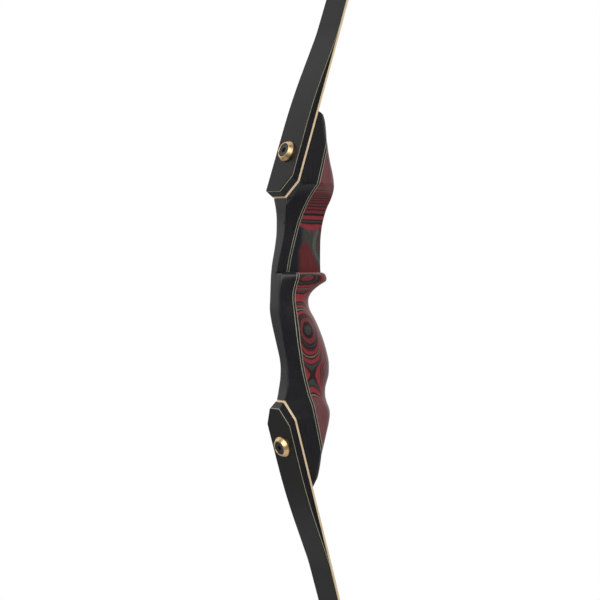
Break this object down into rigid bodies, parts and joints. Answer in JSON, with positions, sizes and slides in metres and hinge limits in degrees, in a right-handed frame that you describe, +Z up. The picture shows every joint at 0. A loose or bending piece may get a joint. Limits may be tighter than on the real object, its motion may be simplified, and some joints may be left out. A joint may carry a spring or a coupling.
{
  "type": "recurve bow",
  "caption": "Unstrung takedown recurve bow: black and red laminated riser with arrow shelf and sight window, brass washers and bolts, two laminated limbs.",
  "frame": {"origin": "throat of the grip, on the bow's middle plane, where the hand pushes", "axes": "+Z up the bow, +X towards the target, +Y to the side of the sight window"},
  "size_m": [0.1184, 0.0438, 1.414],
  "materials": {
    "black_wood": "satin lacquer",
    "pale_veneer": "satin lacquer",
    "red_black_laminate": "dyed layers under satin lacquer",
    "brass": "polished",
    "black_steel": "black oxide",
    "black_glass": "satin",
    "clear_glass": "clear fibre laminate over the pale core",
    "maple_core": "sanded edge",
    "tip_overlay": "satin"
  },
  "bodies": {
    "riser": {"riser_front_block": "black_wood", "front_accent_stripe": "pale_veneer", "middle_accent_stripe": "black_wood", "rear_accent_stripe": "pale_veneer", "riser_grip_block": "red_black_laminate", "upper_limb_insert": "brass", "upper_locating_pins": "brass", "lower_limb_insert": "brass", "lower_locating_pins": "brass"},
    "upper_washer": {"upper_bolt_washer": "brass"},
    "upper_bolt": {"upper_limb_bolt": "black_steel"},
    "upper_butt": {"upper_butt_back_glass": "black_glass", "upper_butt_veneer": "pale_veneer", "upper_butt_wedge": "black_wood", "upper_butt_core": "maple_core", "upper_butt_belly_glass": "clear_glass"},
    "upper_inner": {"upper_inner_back_glass": "black_glass", "upper_inner_core": "maple_core", "upper_inner_belly_glass": "clear_glass"},
    "upper_middle": {"upper_middle_back_glass": "black_glass", "upper_middle_core": "maple_core", "upper_middle_belly_glass": "clear_glass"},
    "upper_outer": {"upper_outer_back_glass": "black_glass", "upper_outer_core": "maple_core", "upper_outer_belly_glass": "clear_glass", "upper_tip_overlay": "tip_overlay"},
    "lower_washer": {"lower_bolt_washer": "brass"},
    "lower_bolt": {"lower_limb_bolt": "black_steel"},
    "lower_butt": {"lower_butt_back_glass": "black_glass", "lower_butt_veneer": "pale_veneer", "lower_butt_wedge": "black_wood", "lower_butt_core": "maple_core", "lower_butt_belly_glass": "clear_glass"},
    "lower_inner": {"lower_inner_back_glass": "black_glass", "lower_inner_core": "maple_core", "lower_inner_belly_glass": "clear_glass"},
    "lower_middle": {"lower_middle_back_glass": "black_glass", "lower_middle_core": "maple_core", "lower_middle_belly_glass": "clear_glass"},
    "lower_outer": {"lower_outer_back_glass": "black_glass", "lower_outer_core": "maple_core", "lower_outer_belly_glass": "clear_glass", "lower_tip_overlay": "tip_overlay"}
  },
  "joints": [
    {"name": "upper_bolt_turn", "type": "hinge", "parent": "upper_washer", "child": "upper_bolt", "pos_m": [0.01822, 0, 0.17593], "axis": [0.9505, 0, 0.3107], "range_deg": [0, 8640]},
    {"name": "upper_washer_lift", "type": "slide", "parent": "riser", "child": "upper_washer", "axis": [0.9505, 0, 0.3107], "range_m": [0, 0.03]},
    {"name": "upper_limb_liftoff", "type": "slide", "parent": "riser", "child": "upper_butt", "axis": [0.9505, 0, 0.3107], "range_m": [0, 0.012]},
    {"name": "upper_flex_1", "type": "hinge", "parent": "upper_butt", "child": "upper_inner", "pos_m": [-0.03262, 0, 0.33921], "axis": [0, -1, 0], "range_deg": [0, 16], "stiffness_Nm_per_rad": 110},
    {"name": "upper_flex_2", "type": "hinge", "parent": "upper_inner", "child": "upper_middle", "pos_m": [-0.06482, 0, 0.47466], "axis": [0, -1, 0], "range_deg": [0, 14], "stiffness_Nm_per_rad": 75},
    {"name": "upper_flex_3", "type": "hinge", "parent": "upper_middle", "child": "upper_outer", "pos_m": [-0.05576, 0, 0.60677], "axis": [0, -1, 0], "range_deg": [0, 10], "stiffness_Nm_per_rad": 50},
    {"name": "lower_bolt_turn", "type": "hinge", "parent": "lower_washer", "child": "lower_bolt", "pos_m": [0.01822, 0, -0.16713], "axis": [0.9505, 0, -0.3107], "range_deg": [0, 8640]},
    {"name": "lower_washer_lift", "type": "slide", "parent": "riser", "child": "lower_washer", "axis": [0.9505, 0, -0.3107], "range_m": [0, 0.03]},
    {"name": "lower_limb_liftoff", "type": "slide", "parent": "riser", "child": "lower_butt", "axis": [0.9505, 0, -0.3107], "range_m": [0, 0.012]},
    {"name": "lower_flex_1", "type": "hinge", "parent": "lower_butt", "child": "lower_inner", "pos_m": [-0.03262, 0, -0.33041], "axis": [0, 1, 0], "range_deg": [0, 16], "stiffness_Nm_per_rad": 110},
    {"name": "lower_flex_2", "type": "hinge", "parent": "lower_inner", "child": "lower_middle", "pos_m": [-0.06482, 0, -0.46586], "axis": [0, 1, 0], "range_deg": [0, 14], "stiffness_Nm_per_rad": 75},
    {"name": "lower_flex_3", "type": "hinge", "parent": "lower_middle", "child": "lower_outer", "pos_m": [-0.05576, 0, -0.59797], "axis": [0, 1, 0], "range_deg": [0, 10], "stiffness_Nm_per_rad": 50}
  ],
  "couplings": [
    {"joint": "upper_bolt_turn", "follows": "upper_washer_lift", "rad_per_m": 5026},
    {"joint": "upper_limb_liftoff", "follows": "upper_washer_lift", "ratio": 0.4},
    {"joint": "upper_flex_2", "follows": "upper_flex_1", "ratio": 0.875},
    {"joint": "upper_flex_3", "follows": "upper_flex_1", "ratio": 0.625},
    {"joint": "lower_bolt_turn", "follows": "lower_washer_lift", "rad_per_m": 5026},
    {"joint": "lower_limb_liftoff", "follows": "lower_washer_lift", "ratio": 0.4},
    {"joint": "lower_flex_2", "follows": "lower_flex_1", "ratio": 0.875},
    {"joint": "lower_flex_3", "follows": "lower_flex_1", "ratio": 0.625}
  ]
}
